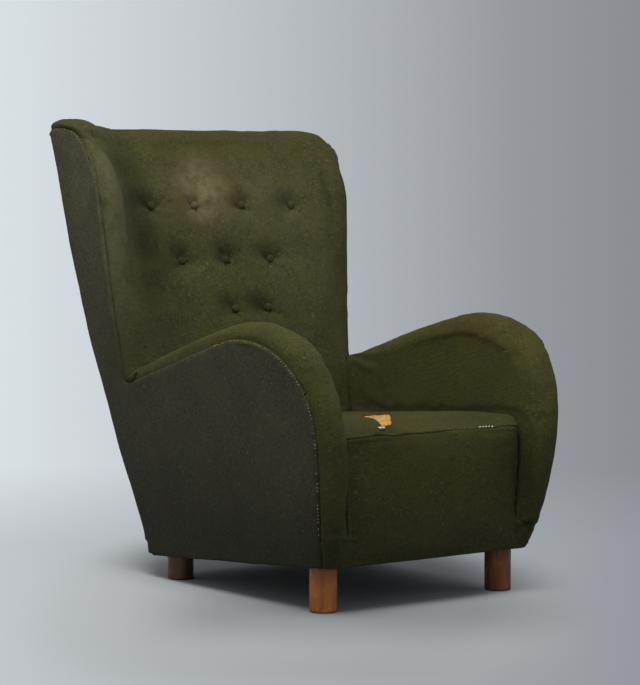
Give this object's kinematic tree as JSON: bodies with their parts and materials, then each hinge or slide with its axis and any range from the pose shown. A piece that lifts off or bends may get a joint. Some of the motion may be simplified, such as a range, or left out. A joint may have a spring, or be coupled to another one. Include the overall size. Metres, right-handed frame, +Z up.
{
  "type": "wingback armchair",
  "caption": "Upholstered lounge chair: high buttoned back with low wings, rolled arms that sweep down to the back, sprung seat, short round wooden legs",
  "frame": {"origin": "on the floor, under the middle of the chair's bounding box", "axes": "+Z up, +Y towards the back, +X towards the sitter's left"},
  "size_m": [0.7358, 1.0966, 1.0618],
  "materials": {
    "cover": "olive green heathered wool weave, worn",
    "outer_cover": "the same wool weave, darker and greyer",
    "leg_wood": "red-brown stained beech, worn varnish",
    "frame_wood": "raw sawn beech",
    "webbing": "jute webbing",
    "spring_steel": "dull drawn wire",
    "hessian": "hessian",
    "black_cloth": "black cotton"
  },
  "bodies": {
    "root": {"arm_pad_left": "cover", "arm_pad_right": "cover", "front_border": "cover", "seat_pad": "cover", "back_pad": "cover", "back_button_1": "cover", "back_button_2": "cover", "back_button_3": "cover", "back_button_4": "cover", "back_button_5": "cover", "back_button_6": "cover", "back_button_7": "cover", "back_button_8": "cover", "back_button_9": "cover", "outer_side_panel_left": "outer_cover", "outer_side_panel_right": "outer_cover", "outside_back_panel": "outer_cover", "leg_front_left": "leg_wood", "leg_front_right": "leg_wood", "leg_rear_left": "leg_wood", "leg_rear_right": "leg_wood", "front_seat_rail": "frame_wood", "rear_seat_rail": "frame_wood", "lower_back_rail": "frame_wood", "crest_rail": "frame_wood", "side_seat_rail_left": "frame_wood", "corner_block_front_left": "frame_wood", "corner_block_rear_left": "frame_wood", "arm_post_left": "frame_wood", "arm_rail_left": "frame_wood", "back_post_left": "frame_wood", "wing_rail_left": "frame_wood", "side_seat_rail_right": "frame_wood", "corner_block_front_right": "frame_wood", "corner_block_rear_right": "frame_wood", "arm_post_right": "frame_wood", "arm_rail_right": "frame_wood", "back_post_right": "frame_wood", "wing_rail_right": "frame_wood", "seat_strap_lengthwise_1": "webbing", "seat_strap_crosswise_1": "webbing", "back_strap_1": "webbing", "seat_strap_lengthwise_2": "webbing", "seat_strap_crosswise_2": "webbing", "back_strap_2": "webbing", "seat_strap_lengthwise_3": "webbing", "seat_strap_crosswise_3": "webbing", "back_strap_3": "webbing", "seat_spring_1": "spring_steel", "seat_spring_2": "spring_steel", "seat_spring_3": "spring_steel", "seat_spring_4": "spring_steel", "seat_spring_5": "spring_steel", "seat_spring_6": "spring_steel", "seat_spring_7": "spring_steel", "seat_spring_8": "spring_steel", "seat_spring_9": "spring_steel", "spring_cloth": "hessian", "dust_cover": "black_cloth"}
  },
  "joints": []
}
